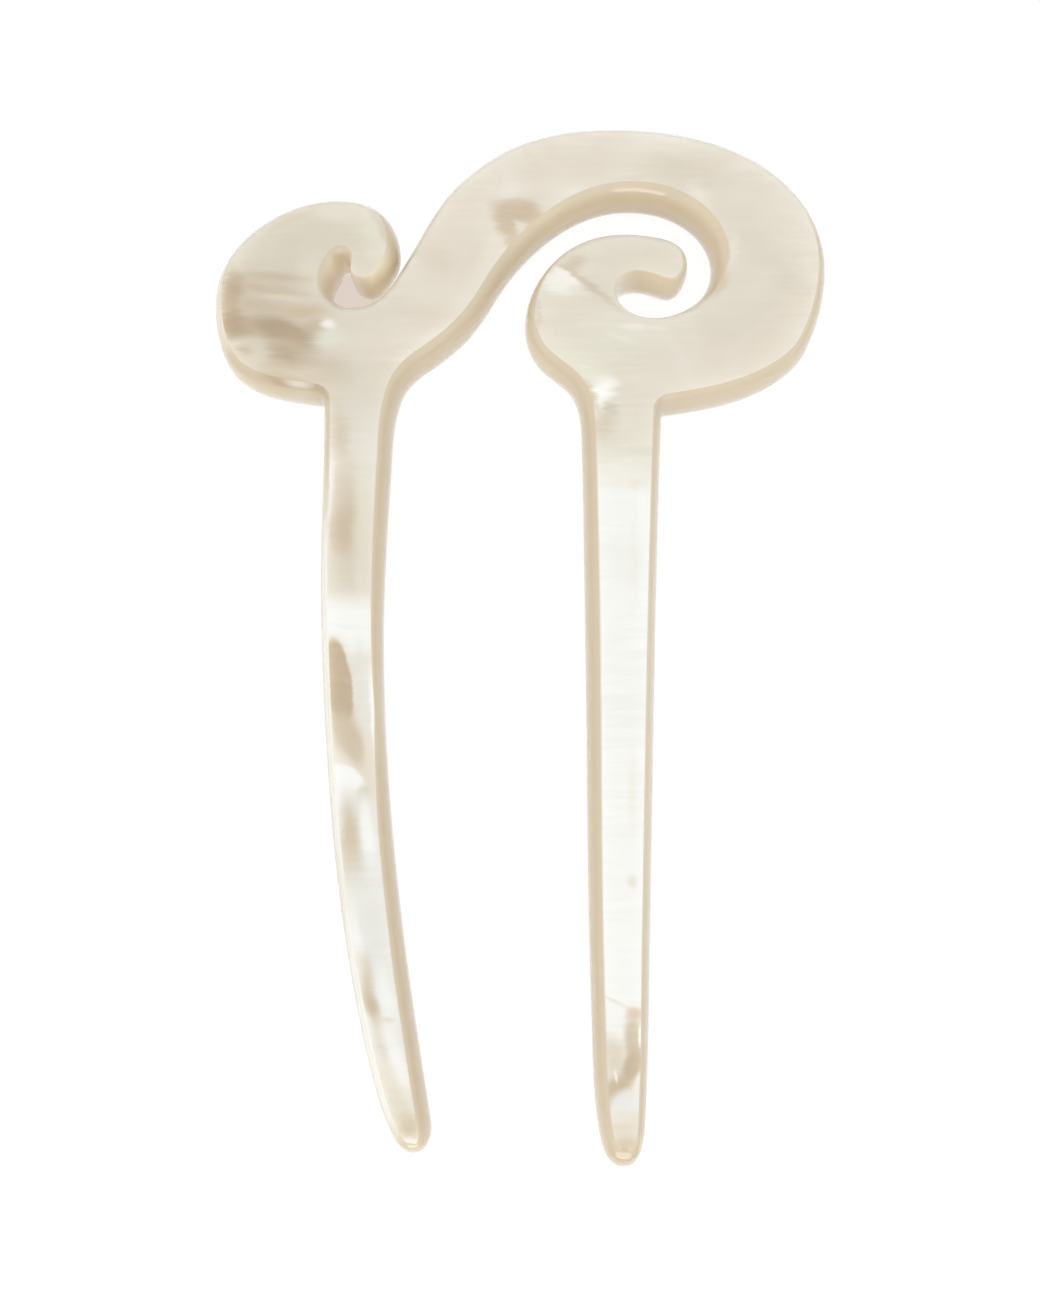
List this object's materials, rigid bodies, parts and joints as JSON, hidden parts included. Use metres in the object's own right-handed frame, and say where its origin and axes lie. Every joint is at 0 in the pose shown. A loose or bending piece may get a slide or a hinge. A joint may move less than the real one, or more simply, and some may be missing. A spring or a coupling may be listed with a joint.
{
  "type": "french hair pin",
  "caption": "Flat french hair pin: long tapering prongs with rounded tips under a head of scroll curls joined by an open arch, cut from one sheet with tumbled edges.",
  "frame": {"origin": "middle of the outline's bounding box, on the flat back face that the pin lies on", "axes": "+X across the prongs, from the small curl's side to the arch's side; +Y from the prongs' tips to the head; +Z out of the front face"},
  "size_m": [0.0678, 0.115, 0.0048],
  "materials": {
    "pearl_acetate": "polished pearlescent cellulose acetate, warm ivory with soft streaks"
  },
  "bodies": {
    "root": {"hairpin": "pearl_acetate"}
  },
  "joints": []
}
